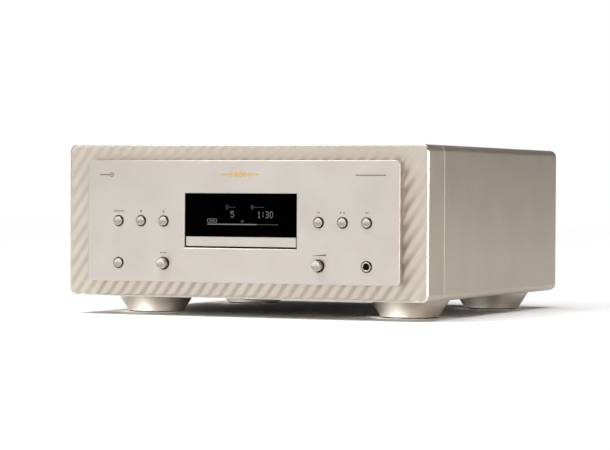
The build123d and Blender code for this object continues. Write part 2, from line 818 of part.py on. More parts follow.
with BuildPart() as traverse_chassis:
    block((-44.0, traverse_front, traverse_low), (sled_arm_right, traverse_rear, traverse_high))
    block(
        (-sled_half - 3, sled_front - 1, traverse_low),
        (sled_rack_line + 2.5, rail_rear - 4, traverse_high),
        mode=Mode.SUBTRACT,
    )
    rod_z(0, disc_y, traverse_low, traverse_high, 2 * spindle_radius, mode=Mode.SUBTRACT)
    for side in (-1, 1):
        for front, rear in ((rail_front, rail_front + 4), (rail_rear - 3.5, rail_rear)):
            block((side * rail_x - 4, front, rail_z - 4), (side * rail_x + 4, rear, traverse_low))
            rod_y(side * rail_x, rail_z, front, rear, rail_radius + 0.02, mode=Mode.SUBTRACT)
    block(
        (sled_gear_x - 4, sled_gear_y - 6, sled_shelf_low),
        (sled_arm_right, sled_gear_y + 6, sled_shelf_high),
    )
    block(
        (sled_arm_right - 2, sled_gear_y - 6, sled_shelf_high),
        (sled_arm_right, sled_gear_y + 6, traverse_low),
    )
    rod_z(sled_gear_x, sled_gear_y, sled_shelf_low, sled_shelf_high, shaft_hole_radius, mode=Mode.SUBTRACT)
    for x, y in guide_posts:
        rod_z(x, y, traverse_low, traverse_high, guide_post_radius + 1.5, mode=Mode.SUBTRACT)
save(traverse_chassis, "traverse_chassis")

with BuildPart() as traverse_bushes:
    for x, y in guide_posts:
        rod_z(x, y, traverse_low - 2.5, traverse_low, guide_post_radius + 2.5)
        rod_z(x, y, traverse_low, traverse_high, guide_post_radius + 1.5)
        rod_z(x, y, traverse_high, traverse_high + 2.0, guide_post_radius + 2.5)
        rod_z(
            x, y, traverse_low - 2.5, traverse_high + 2.0, guide_post_radius + bush_gap, mode=Mode.SUBTRACT
        )
save(traverse_bushes, "traverse_bushes")

with BuildPart() as guide_rails:
    for side in (-1, 1):
        rod_y(side * rail_x, rail_z, rail_front, rail_rear, rail_radius)
save(guide_rails, "guide_rails")

with BuildPart() as spindle_motor:
    rod_z(0, disc_y, traverse_low - 10, traverse_low, 11.0)
    rod_z(0, disc_y, traverse_low, disc_seat + 1.0, spindle_radius)
save(spindle_motor, "spindle_motor")

with BuildPart() as turntable:
    rod_z(0, disc_y, traverse_high + 2.5, disc_seat - 2.5, 4.0)
    rod_z(0, disc_y, disc_seat - 2.5, disc_seat, seat_radius)
    with Locations((0, disc_y, disc_seat)):
        Cone(hub_radius, hub_radius - 2.0, hub_height, align=(Align.CENTER, Align.CENTER, Align.MIN))
    rod_z(
        0, disc_y, traverse_high, disc_seat + 1.5, spindle_radius + running_clearance, mode=Mode.SUBTRACT
    )
save(turntable, "turntable")

sled_rack_ys = [sled_gear_y + k * tooth_pitch for k in range(-math.ceil(sled_travel / tooth_pitch), 2)]
with BuildPart() as pickup_sled:
    block((-sled_half, sled_front, rail_z - 3), (sled_half, sled_rear, lens_base - 4))
    block((-10.0, sled_front + 1.5, lens_base - 4), (10.0, lens_y + 9, lens_base))
    rack_ends = (sled_front, sled_rack_ys[-1] + 2.0)
    rack_bar(sled_half - 2, sled_rack_line, sled_gear_low, sled_gear_high, rack_ends, sled_rack_ys)
    for side in (-1, 1):
        rod_y(
            side * rail_x,
            rail_z,
            sled_front,
            sled_rear,
            rail_radius + running_clearance,
            mode=Mode.SUBTRACT,
        )
save(pickup_sled, "pickup_sled")

with BuildPart() as pickup_lens:
    rod_z(0, lens_y, lens_base, lens_base + 1.8, 4.0)
    rod_z(0, lens_y, lens_base + 1.8, lens_base + 2.7, 2.4)
save(pickup_lens, "pickup_lens")

with BuildPart() as sled_motor:
    rod_z(sled_gear_x, sled_gear_y, sled_shelf_low - 14, sled_shelf_low, 6.0)
    rod_z(sled_gear_x, sled_gear_y, sled_shelf_low, sled_gear_high + 0.5, motor_shaft_radius)
save(sled_motor, "sled_motor")

with BuildPart() as sled_gear:
    gear_wheel(sled_gear_x, sled_gear_y, sled_gear_low, sled_gear_high, sled_teeth)
    rod_z(
        sled_gear_x,
        sled_gear_y,
        sled_gear_low,
        sled_gear_high,
        motor_shaft_radius + running_clearance,
        mode=Mode.SUBTRACT,
    )
save(sled_gear, "sled_gear")

# ---------------------------------------------------------------- electronics

transformer_place = ((frame_left - chassis_half) / 2 + 2.75, bezel_front + 156.5)
transformer_height = 52.0
with BuildPart() as transformer:
    rod_z(*transformer_place, floor_top + 2, floor_top + 2 + transformer_height, 46.0)
    rod_z(*transformer_place, floor_top + 2, floor_top + 2 + transformer_height, 14.0, mode=Mode.SUBTRACT)
    fillet(transformer.edges().filter_by(GeomType.CIRCLE), 6.0)
save(transformer, "transformer")

with BuildPart() as transformer_cover:
    rod_z(*transformer_place, floor_top, floor_top + transformer_height + 8, 50.0)
    rod_z(*transformer_place, floor_top, floor_top + transformer_height + 6.5, 48.5, mode=Mode.SUBTRACT)
save(transformer_cover, "transformer_cover")


def on_board(corner, x, y, height=0.0):
    """A point above a board, measured from the board's front left corner."""
    return (corner[0] + x, corner[1] + y, board_high + height)


def circuit_board(corner, size, components, scale=1.0):
    """A board with its larger components on it, each given as x, y, width, depth and height."""
    with BuildPart() as board:
        block((*corner, board_low), (corner[0] + size[0], corner[1] + size[1], board_high))
        for x, y, width, depth, height in components:
            near = on_board(corner, x, y * scale)
            block(near, on_board(corner, x + width, (y + depth) * scale, height))
    return board


power_parts = [(8, 14, 30, 22, 20), (48, 14, 18, 40, 12), (94, 14, 12, 30, 16)]
digital_parts = [(22, 30, 28, 28, 3), (60, 30, 20, 20, 3), (14, 90, 60, 14, 9)]
audio_parts = [(x, y, 16, 26, 12) for x in (204, 228) for y in (32, 68, 104, 140)]
audio_parts += [(22, 52, 34, 34, 3), (22, 112, 40, 20, 10)]
save(circuit_board(power_board_corner, power_board_size, power_parts, bay_scale), "power_supply_board")
save(circuit_board(digital_board_corner, digital_board_size, digital_parts), "digital_board")
save(circuit_board(audio_board_corner, audio_board_size, audio_parts, bay_scale), "audio_board")

with BuildPart() as reservoir_capacitors:
    with Locations(on_board(power_board_corner, 40, 130 * bay_scale)):
        with GridLocations(30, 30, 2, int(rear_bay // 80)):
            Cylinder(12.5, 42, align=(Align.CENTER, Align.CENTER, Align.MIN))
save(reservoir_capacitors, "reservoir_capacitors")

with BuildPart() as heat_sink:
    block(
        on_board(power_board_corner, 82, 60 * bay_scale),
        on_board(power_board_corner, 86, 180 * bay_scale, 50),
    )
    with Locations(on_board(power_board_corner, 94, 120 * bay_scale, 25)):
        with GridLocations(0, 10 * bay_scale, 1, 12):
            Box(16.0, 2.0, 50.0)
save(heat_sink, "heat_sink")

shield_wall = 1.2
with BuildPart() as converter_shield:
    block(
        on_board(audio_board_corner, 82, 42 * bay_scale),
        on_board(audio_board_corner, 190, 142 * bay_scale, 24),
    )
    block(
        on_board(audio_board_corner, 82 + shield_wall, 42 * bay_scale + shield_wall),
        on_board(audio_board_corner, 190 - shield_wall, 142 * bay_scale - shield_wall, 24 - shield_wall),
        mode=Mode.SUBTRACT,
    )
save(converter_shield, "converter_shield")

# ---------------------------------------------------------------- rear sockets


def phono_socket(x, z):
    """A panel phono socket: threaded body through the panel, flange, barrel and contact hole."""
    rod_y(x, z, rear_panel_face - 12, rear_panel_face, 3.4)
    rod_y(x, z, rear_panel_face, rear_panel_face + 2, 6.0)
    rod_y(x, z, rear_panel_face + 2, rear_panel_face + rca_length, rca_radius)
    rod_y(x, z, rear_panel_face - 4, rear_panel_face + rca_length, 1.6, mode=Mode.SUBTRACT)


with BuildPart() as rca_outputs:
    for x, z in rca_places:
        phono_socket(x, z)
save(rca_outputs, "rca_outputs")

with BuildPart() as xlr_outputs:
    for x, z in xlr_places:
        with BuildSketch(facing_front(rear_panel_face + 2)) as flange:
            with Locations((x, z)):
                RectangleRounded(26, 31, 3)
        extrude(flange.sketch, amount=2)
        rod_y(x, z, rear_panel_face - 18, rear_panel_face, xlr_body_radius)
        rod_y(x, z, rear_panel_face - 14, rear_panel_face + 2, xlr_cavity_radius, mode=Mode.SUBTRACT)
        for pin_x, pin_z in ((-4.0, 0.0), (4.0, 0.0), (0.0, -4.4)):
            rod_y(x + pin_x, z + pin_z, rear_panel_face - 14, rear_panel_face - 1, 1.2)
save(xlr_outputs, "xlr_outputs")

with BuildPart() as digital_sockets:
    for x, z in digital_rca_places:
        phono_socket(x, z)
    for x, z in optical_places:
        block((x - 5.5, rear_panel_face - 10, z - 5.5), (x + 5.5, rear_panel_face + 2.5, z + 5.5))
        block(
            (x - 4, rear_panel_face + 0.5, z - 4),
            (x + 4, rear_panel_face + 2.5, z + 4),
            mode=Mode.SUBTRACT,
        )
    usb_x, usb_z = usb_place
    block((usb_x - 6, rear_panel_face - 12, usb_z - 5.5), (usb_x + 6, rear_panel_face + 1, usb_z + 5.5))
    block(
        (usb_x - 4.2, rear_panel_face - 9, usb_z - 3.9),
        (usb_x + 4.2, rear_panel_face + 1, usb_z + 3.9),
        mode=Mode.SUBTRACT,
    )
    block((usb_x - 2.8, rear_panel_face - 9, usb_z - 1.6), (usb_x + 2.8, rear_panel_face - 0.5, usb_z + 1.6))
save(digital_sockets, "digital_sockets")

with BuildPart() as ac_inlet:
    x, z = inlet_place
    with BuildSketch(facing_front(rear_panel_face + 2.5)) as flange:
        with Locations((x, z)):
            RectangleRounded(50, 28, 4)
        with Locations((x - 20, z), (x + 20, z)):
            Circle(1.8, mode=Mode.SUBTRACT)
    extrude(flange.sketch, amount=2.5)
    block((x - 15, rear_panel_face - 20, z - 11), (x + 15, rear_panel_face, z + 11))
    block(
        (x - 12.3, rear_panel_face - 14, z - 8.2),
        (x + 12.3, rear_panel_face + 2.5, z + 8.2),
        mode=Mode.SUBTRACT,
    )
    for blade_x, blade_z in ((-7.0, -2.0), (7.0, -2.0), (0.0, 2.0)):
        block(
            (x + blade_x - 1, rear_panel_face - 14, z + blade_z - 2),
            (x + blade_x + 1, rear_panel_face - 1, z + blade_z + 2),
        )
save(ac_inlet, "ac_inlet")
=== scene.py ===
import json
import math

import bmesh
import bpy
from mathutils import Matrix, Vector


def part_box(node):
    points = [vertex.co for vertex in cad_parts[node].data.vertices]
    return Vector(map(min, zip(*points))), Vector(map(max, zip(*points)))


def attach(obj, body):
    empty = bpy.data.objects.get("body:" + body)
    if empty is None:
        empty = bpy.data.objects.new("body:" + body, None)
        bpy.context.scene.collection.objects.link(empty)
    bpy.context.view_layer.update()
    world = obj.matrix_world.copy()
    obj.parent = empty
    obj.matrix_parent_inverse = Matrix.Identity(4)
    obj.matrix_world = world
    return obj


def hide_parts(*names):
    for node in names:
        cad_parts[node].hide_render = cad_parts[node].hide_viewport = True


# CD player: champagne aluminium case with a rippled front bezel, a floating brushed front plate,
# a disc drawer under a dark display window, turned buttons, knobs and feet.
# Metres, in the frame of the CAD. Sizes written with MM are millimetres of the real object.

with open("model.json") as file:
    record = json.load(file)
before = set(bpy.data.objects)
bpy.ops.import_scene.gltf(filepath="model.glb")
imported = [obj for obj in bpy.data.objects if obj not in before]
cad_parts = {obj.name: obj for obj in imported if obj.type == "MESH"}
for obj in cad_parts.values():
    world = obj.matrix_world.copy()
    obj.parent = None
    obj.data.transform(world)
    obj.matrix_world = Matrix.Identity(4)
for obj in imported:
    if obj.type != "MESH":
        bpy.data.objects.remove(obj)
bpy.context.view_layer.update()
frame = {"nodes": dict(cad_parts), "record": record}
MM = 0.001
# A soft unevenness this many mm across lies over every finish.
CLOUD_SIZE = 45.5
# The frosting of glowing pieces: its grain and relief in mm.
FROST_SIZE = 0.8
FROST_DEPTH = 0.02


# ---------------------------------------------------------------- places from the CAD

bezel_low, bezel_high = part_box("front_bezel")
plate_low, plate_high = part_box("center_plate")
side_low, side_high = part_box("right_side_panel")
lid_low, lid_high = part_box("drawer_front")
pane_low, pane_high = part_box("display_window")

body_middle = (bezel_low.z + bezel_high.z) / 2
plate_middle = (plate_low.z + plate_high.z) / 2
plate_front = plate_low.y
bezel_front = bezel_low.y
corner_radius = 8 * MM
bezel_wall = 6 * MM
panel_wall = 5 * MM
service_half = ((plate_high.x - plate_low.x) / 2 - 21 * MM, 51 * MM)
service_middle = body_middle - 6 * MM


def middle_of(node):
    """The middle of a CAD node's box, seen from the front, as (x, z)."""
    low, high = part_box(node)
    return (low.x + high.x) / 2, (low.z + high.z) / 2


# ---------------------------------------------------------------- nodes and colours


def linear(hex_colour):
    """The linear colour of an sRGB hex value, with full alpha."""
    channels = [int(hex_colour[i : i + 2], 16) / 255 for i in (1, 3, 5)]
    return (
        *(c / 12.92 if c <= 0.04045 else ((c + 0.055) / 1.055) ** 2.4 for c in channels),
        1.0,
    )


def add_node(tree, kind, inputs=None, stops=None, **settings):
    """Adds a node with its settings, its inputs as values or as links, and its ramp's stops."""
    node = tree.nodes.new(kind)
    for name, value in settings.items():
        setattr(node, name, value)
    for name, value in (inputs or {}).items():
        if isinstance(value, bpy.types.NodeSocket):
            tree.links.new(value, node.inputs[name])
        else:
            node.inputs[name].default_value = value
    for index, (position, colour) in enumerate(stops or ()):
        elements = node.color_ramp.elements
        element = elements[index] if index < 2 else elements.new(position)
        element.position = position
        element.color = linear(colour)
    return node


def new_tree(name):
    """A material with an empty node tree."""
    material = bpy.data.materials.new(name)
    material.use_nodes = True
    material.node_tree.nodes.clear()
    return material, material.node_tree


def close_tree(tree, height, depth, **sockets):
    """Ends a material in a principled surface, with the height in its bump."""
    names = {name.replace("_", " "): value for name, value in sockets.items()}
    if height is not None:
        bump = add_node(
            tree, "ShaderNodeBump", {"Height": height, "Distance": depth, "Strength": 1.0}
        )
        names["Normal"] = bump.outputs["Normal"]
    shader = add_node(tree, "ShaderNodeBsdfPrincipled", names)
    add_node(tree, "ShaderNodeOutputMaterial", {"Surface": shader.outputs["BSDF"]})


def grained(name, colours, grain, roughness, depth, detail=4.0, brushed=False, **constants):
    """A finish whose colour, roughness and relief follow one grain, sized in mm along x, y, z.
    Where it is brushed, its level scratches spread reflections up and down."""
    material, tree = new_tree(name)
    if brushed:
        facing = add_node(tree, "ShaderNodeNewGeometry").outputs["Normal"]
        constants["Tangent"] = add_node(
            tree, "ShaderNodeVectorMath", {0: facing, 1: (0, 0, 1)}, operation="CROSS_PRODUCT"
        ).outputs["Vector"]
        constants["Anisotropic_Rotation"] = 0.25
    spot = add_node(tree, "ShaderNodeTexCoord").outputs["Object"]
    scaled = add_node(
        tree,
        "ShaderNodeMapping",
        {"Vector": spot, "Scale": tuple(1 / (size * MM) for size in grain)},
    ).outputs["Vector"]
    noise = add_node(
        tree, "ShaderNodeTexNoise", {"Vector": scaled, "Scale": 1.0, "Detail": detail}
    ).outputs["Fac"]
    cloud = add_node(
        tree, "ShaderNodeTexNoise", {"Vector": spot, "Scale": 1 / (CLOUD_SIZE * MM), "Detail": 2.0}
    ).outputs["Fac"]
    blend = add_node(
        tree,
        "ShaderNodeMix",
        {0: 0.35, 2: noise, 3: cloud},
        data_type="FLOAT",
    ).outputs[0]
    colour = add_node(
        tree,
        "ShaderNodeValToRGB",
        {"Fac": blend},
        stops=[(0.3, colours[0]), (0.7, colours[1])],
    ).outputs["Color"]
    gloss = add_node(
        tree,
        "ShaderNodeMapRange",
        {"Value": blend, "From Min": 0.3, "From Max": 0.7, "To Min": roughness[0], "To Max": roughness[1]},
    ).outputs["Result"]
    close_tree(tree, noise, depth * MM, Base_Color=colour, Roughness=gloss, **constants)
    return material


def turned(name, colours, pitch, roughness, depth, axis, anisotropy):
    """A lathe finish: fine rings about the piece's own axis, pitch mm apart."""
    material, tree = new_tree(name)
    spot = add_node(tree, "ShaderNodeTexCoord").outputs["Object"]
    across = (1, 1, 0) if axis == "Z" else (1, 0, 1)
    along = (0, 0, 1) if axis == "Z" else (0, 1, 0)
    flat = add_node(
        tree, "ShaderNodeVectorMath", {0: spot, 1: across}, operation="MULTIPLY"
    ).outputs["Vector"]
    radius = add_node(tree, "ShaderNodeVectorMath", {0: flat}, operation="LENGTH").outputs["Value"]
    height = add_node(
        tree, "ShaderNodeVectorMath", {0: spot, 1: along}, operation="DOT_PRODUCT"
    ).outputs["Value"]
    total = add_node(tree, "ShaderNodeMath", {0: radius, 1: height}, operation="ADD").outputs[0]
    rings = add_node(
        tree,
        "ShaderNodeTexNoise",
        {"W": total, "Scale": 1 / (pitch * MM), "Detail": 3.0},
        noise_dimensions="1D",
    ).outputs["Fac"]
    colour = add_node(
        tree,
        "ShaderNodeValToRGB",
        {"Fac": rings},
        stops=[(0.3, colours[0]), (0.7, colours[1])],
    ).outputs["Color"]
    gloss = add_node(
        tree,
        "ShaderNodeMapRange",
        {"Value": rings, "From Min": 0.3, "From Max": 0.7, "To Min": roughness[0], "To Max": roughness[1]},
    ).outputs["Result"]
    tangent = add_node(tree, "ShaderNodeTangent", direction_type="RADIAL", axis=axis)
    close_tree(
        tree,
        rings,
        depth * MM,
        Base_Color=colour,
        Roughness=gloss,
        Metallic=1.0,
        Anisotropic=anisotropy,
        Anisotropic_Rotation=0.25,
        Tangent=tangent.outputs["Tangent"],
    )
    return material


def glowing(name, base, colour, strength, rise=None):
    """A finish that glows evenly, or from nothing at the lower to full at the upper height of rise."""
    material, tree = new_tree(name)
    spot = add_node(tree, "ShaderNodeTexCoord").outputs["Object"]
    if rise:
        height = add_node(tree, "ShaderNodeSeparateXYZ", {"Vector": spot}).outputs["Z"]
        strength = add_node(
            tree,
            "ShaderNodeMapRange",
            {"Value": height, "From Min": rise[0], "From Max": rise[1], "To Min": 0.0, "To Max": strength},
        ).outputs["Result"]
    frost = add_node(
        tree, "ShaderNodeTexNoise", {"Vector": spot, "Scale": 1 / (FROST_SIZE * MM), "Detail": 2.0}
    ).outputs["Fac"]
    close_tree(
        tree,
        frost,
        FROST_DEPTH * MM,
        Base_Color=linear(base),
        Roughness=0.5,
        Emission_Color=linear(colour),
        Emission_Strength=strength,
    )
    return material


# ---------------------------------------------------------------- finishes

# Blasted and anodised aluminium: a soft satin sheen with a very fine sparkle. Its grain is drawn
# at 0.5 mm, coarser than the real 0.1 mm, so that it shows. The sealed oxide layer scatters a
# little, so the surface takes shadows as well as reflections.
blasted_aluminium = grained(
    "anodised_aluminium_blasted",
    ("#B9AFA2", "#CAC0B4"),
    (0.5, 0.5, 0.5),
    (0.44, 0.52),
    0.004,
    Metallic=0.78,
)
# Brushed and anodised aluminium: long level scratches. They are 0.3 mm apart, coarser than real
# ones of 0.05 mm, so that they show.
brushed_aluminium = grained(
    "anodised_aluminium_brushed",
    ("#BBB4AC", "#C7C1BB"),
    (18.0, 0.5, 0.3),
    (0.34, 0.46),
    0.006,
    brushed=True,
    Metallic=0.85,
    Anisotropic=0.5,
)
# Turned and anodised aluminium: rings from the lathe tool that fan the highlight. They are
# 0.5 mm apart, coarser than real ones of 0.1 mm, so that they show.
turned_aluminium = turned(
    "anodised_aluminium_turned", ("#8E867C", "#E3DDD5"), 0.5, (0.16, 0.26), 0.006, "Y", 0.92
)
# The same for the feet, about an upright axis, with a tool mark every 0.6 mm.
turned_foot_aluminium = turned(
    "anodised_aluminium_turned_upright", ("#BDB6AD", "#DBD6CF"), 0.6, (0.38, 0.50), 0.008, "Z", 0.6
)
# Edges cut with a diamond tool: the same metal, smoother, so it catches a bright line.
cut_aluminium = grained(
    "anodised_aluminium_diamond_cut",
    ("#DCD5CC", "#E8E3DC"),
    (3.0, 3.0, 3.0),
    (0.22, 0.30),
    0.001,
    Metallic=1.0,
)
# Smoked mineral glass with an anti-reflection coat: black and smooth, without a gloss.
smoked_glass = grained(
    "smoked_glass_coated",
    ("#000000", "#020202"),
    (9.0, 9.0, 9.0),
    (0.05, 0.08),
    0.0004,
    IOR=1.5,
    Specular_IOR_Level=0.0,
)
# Cast acrylic, frosted: a warm white with a painted glow along its upper part. The glow stands in for the
# bright band above and beside the plate, and it fades to nothing lower down as painted shade under the
# plate.
frosted_acrylic = glowing(
    "acrylic_painted_glow", "#E9E4DA", "#FFE8C8", 2.2, (body_middle - 62 * MM, body_middle + 15 * MM)
)
# Vacuum display characters: a cold grey-white glow.
display_glow = glowing("display_phosphor", "#0C0E10", "#C4CDD2", 0.30)
display_dim_glow = glowing("display_phosphor_dim", "#0C0E10", "#C4CDD2", 0.10)
# Screen-printed enamel ink: matt and slightly uneven.
printed_ink = grained(
    "enamel_ink_printed", ("#4A4540", "#5A544E"), (0.4, 0.4, 0.4), (0.5, 0.65), 0.002
)
# Gilt foil, hot-pressed: a warm bright metal.
gilt = grained(
    "gilt_foil_pressed", ("#D9A441", "#EDC06A"), (0.6, 0.6, 0.6), (0.30, 0.42), 0.002, Metallic=1.0
)
# Moulded ABS, black, with a fine spark-eroded texture.
black_plastic = grained(
    "abs_moulded_black", ("#141415", "#1F1F21"), (0.6, 0.6, 0.6), (0.42, 0.58), 0.012, IOR=1.53
)
# Moulded ABS, grey, for the disc tray and the mechanism's frame.
grey_plastic = grained(
    "abs_moulded_grey", ("#3B3C3E", "#48494B"), (0.7, 0.7, 0.7), (0.45, 0.60), 0.015, IOR=1.53
)
# Moulded acetal: milky white with a waxy sheen.
white_acetal = grained(
    "acetal_moulded",
    ("#E6E3DA", "#F2F0EA"),
    (3.0, 3.0, 3.0),
    (0.28, 0.40),
    0.004,
    IOR=1.48,
    Subsurface_Weight=0.1,
    Subsurface_Scale=1.0 * MM,
)
# Epoxy-glass board under solder mask: the weave shows as a faint 0.6 mm grid of grain.
circuit_board = grained(
    "fr4_solder_masked",
    ("#10301F", "#1C4A30"),
    (0.6, 0.6, 0.6),
    (0.30, 0.45),
    0.01,
    Coat_Weight=0.4,
    Coat_Roughness=0.2,
)
# Copper-plated steel: pink-orange, rolled, with long faint streaks.
copper_plate = grained(
    "steel_copper_plated",
    ("#B5694A", "#D58C68"),
    (30.0, 3.0, 1.5),
    (0.26, 0.40),
    0.006,
    Metallic=1.0,
)
# Zinc-plated steel: cool grey with a faint blotched spangle.
zinc_steel = grained(
    "steel_zinc_plated", ("#8E9092", "#B9BBBC"), (4.0, 4.0, 4.0), (0.28, 0.42), 0.008, Metallic=1.0
)
# Powder-coated steel: dark and pebbled.
dark_paint = grained(
    "steel_powder_coated", ("#1B1C1E", "#27282B"), (0.9, 0.9, 0.9), (0.45, 0.60), 0.03
)
# Gold-plated brass: rich yellow and polished, with fine turning marks.
gold_plate = grained(
    "brass_gold_plated", ("#C07F1C", "#DDA03A"), (3.0, 0.4, 3.0), (0.14, 0.24), 0.003, Metallic=1.0
)
# Moulded rubber: black and matt.
black_rubber = grained(
    "rubber_moulded", ("#0E0E0E", "#1A1A1A"), (0.8, 0.8, 0.8), (0.70, 0.88), 0.02
)
# Coated optical glass: nearly clear with a violet cast, seen as a dark blue bead.
optic_glass = grained(
    "optical_glass_coated",
    ("#1B2436", "#2C2F55"),
    (4.0, 4.0, 4.0),
    (0.03, 0.06),
    0.0004,
    Coat_Weight=1.0,
    IOR=1.52,
)
# Shrunk PVC sleeve: smooth black with a slight orange-peel.
capacitor_sleeve = grained(
    "pvc_sleeve_shrunk", ("#101114", "#1A1C20"), (5.0, 5.0, 5.0), (0.24, 0.34), 0.03, IOR=1.53
)
# Black anodised extrusion: fine die lines along its length.
black_anodised = grained(
    "aluminium_black_anodised", ("#111214", "#1E1F22"), (0.6, 0.6, 24.0), (0.34, 0.46), 0.01
)

slot_finishes = {
    "champagne_aluminium": blasted_aluminium,
    "brushed_champagne": brushed_aluminium,
    "spun_aluminium": turned_aluminium,
    "smoked_glass": smoked_glass,
    "frosted_acrylic": frosted_acrylic,
    "black_plastic": black_plastic,
    "grey_plastic": grey_plastic,
    "white_acetal": white_acetal,
    "circuit_board": circuit_board,
    "copper_plate": copper_plate,
    "zinc_steel": zinc_steel,
    "dark_paint": dark_paint,
    "gold_plate": gold_plate,
    "black_rubber": black_rubber,
    "optic_glass": optic_glass,
    "capacitor_sleeve": capacitor_sleeve,
    "black_anodised": black_anodised,
}
for subpart in frame["record"]["subparts"]:
    for material_slot in frame["nodes"][subpart["node"]].material_slots:
        material_slot.material = slot_finishes[subpart["material_slot"]]


# ---------------------------------------------------------------- making meshes


def finish_mesh(name, mesh, finish, centre=(0, 0, 0), sharp=32):
    """Welds and closes a mesh, smooths it below the sharp angle, and gives it its finish."""
    shape = bmesh.new()
    shape.from_mesh(mesh)
    bmesh.ops.remove_doubles(shape, verts=shape.verts, dist=0.002 * MM)
    bmesh.ops.recalc_face_normals(shape, faces=shape.faces)
    shape.to_mesh(mesh)
    shape.free()
    mesh.shade_smooth()
    mesh.set_sharp_from_angle(angle=math.radians(sharp))
    mesh.materials.clear()
    mesh.materials.append(finish)
    piece = bpy.data.objects.new(name, mesh)
    piece.location = centre
    bpy.context.scene.collection.objects.link(piece)
    return piece


def skin(name, loops, finish, centre=(0, 0, 0), ring=True, sharp=32):
    """A skin over closed loops of equally many points. As a ring, the last meets the first."""
    count = len(loops[0])
    points = [point for loop in loops for point in loop]
    faces = []
    for row in range(len(loops) if ring else len(loops) - 1):
        start, after = row * count, (row + 1) % len(loops) * count
        for i in range(count):
            j = (i + 1) % count
            faces.append((start + i, start + j, after + j, after + i))
    mesh = bpy.data.meshes.new(name)
    mesh.from_pydata(points, [], faces)
    return finish_mesh(name, mesh, finish, centre, sharp)


def lathe(name, profile, finish, centre, axis="Y", steps=96):
    """A turned piece from a profile of (radius, place along the axis) in mm about its centre."""
    loops = []
    for radius, along in profile:
        loop = []
        for i in range(steps):
            angle = 2 * math.pi * i / steps
            u, v, w = radius * MM * math.cos(angle), radius * MM * math.sin(angle), along * MM
            loop.append((u, w, v) if axis == "Y" else (u, v, w))
        loops.append(loop)
    return skin(name, loops, finish, centre, ring=profile[0][0] > 0)


def cut_plate(name, outlines, front, thickness, edge, finish):
    """A plate cut to outlines of (x, z), with its holes after its rim, and broken edges."""
    curve = bpy.data.curves.new(name, "CURVE")
    curve.dimensions = "2D"
    curve.fill_mode = "BOTH"
    curve.extrude = thickness / 2 - edge
    curve.bevel_depth = edge
    curve.bevel_resolution = 0
    curve.offset = -edge
    for outline in outlines:
        spline = curve.splines.new("POLY")
        spline.points.add(len(outline) - 1)
        for point, (x, z) in zip(spline.points, outline):
            point.co = (x, z, 0, 1)
        spline.use_cyclic_u = True
    mesh = bpy.data.meshes.new_from_object(bpy.data.objects.new(name, curve))
    middle = front + thickness / 2
    mesh.transform(Matrix(((1, 0, 0, 0), (0, 0, -1, middle), (0, 1, 0, 0), (0, 0, 0, 1))))
    return finish_mesh(name, mesh, finish)


def rounded(half_width, half_height, radius, middle=(0, 0), arc=8, along=1, up=1):
    """The outline of a rounded rectangle, its sides split into that many parts."""
    corners = [
        (half_width - radius, half_height - radius, 0),
        (radius - half_width, half_height - radius, 90),
        (radius - half_width, radius - half_height, 180),
        (half_width - radius, radius - half_height, 270),
    ]
    points = []
    for index, (x, z, start) in enumerate(corners):
        turn = [math.radians(start + 90 * i / arc) for i in range(arc + 1)]
        points += [(x + radius * math.cos(a), z + radius * math.sin(a)) for a in turn]
        next_x, next_z, next_start = corners[(index + 1) % 4]
        a = math.radians(next_start)
        ahead = (next_x + radius * math.cos(a), next_z + radius * math.sin(a))
        here = points[-1]
        parts = along if index % 2 == 0 else up
        for i in range(1, parts):
            t = i / parts
            points.append((here[0] + t * (ahead[0] - here[0]), here[1] + t * (ahead[1] - here[1])))
    return [(x + middle[0], z + middle[1]) for x, z in points]


def circle(radius, middle, steps=64):
    """A round outline of (x, z)."""
    return [
        (
            middle[0] + radius * math.cos(2 * math.pi * i / steps),
            middle[1] + radius * math.sin(2 * math.pi * i / steps),
        )
        for i in range(steps)
    ]


def fit_piece(piece, body, slot, *nodes):
    """Puts a piece on its body and hides the CAD nodes it stands for. The slot is not used."""
    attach(piece, body)
    if nodes:
        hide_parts(*nodes)


# ---------------------------------------------------------------- front bezel

ripple_angle = math.radians(55)
ripple_pitch = 11.5 * MM
ripple_depth = 0.95 * MM
ripple_margin = 2.5 * MM
bezel_chamfer = 1.2 * MM
bezel_rear_chamfer = 0.5 * MM
opening_radius = 6 * MM
# How far across the face each ring of points lies: closer together where the ripple starts
ripple_rings = [0.006, 0.012, 0.02, 0.03, 0.04, 0.055] + [0.075 + 0.025 * i for i in range(38)]


def ripple(x, z, from_edge):
    """How deep the rippled face lies at a point, that far from the bezel's edge."""
    phase = 2 * math.pi * (x * math.sin(ripple_angle) - z * math.cos(ripple_angle)) / ripple_pitch
    t = min(from_edge / ripple_margin, 1)
    return ripple_depth * t * t * (3 - 2 * t) * (1 - math.cos(phase)) / 2


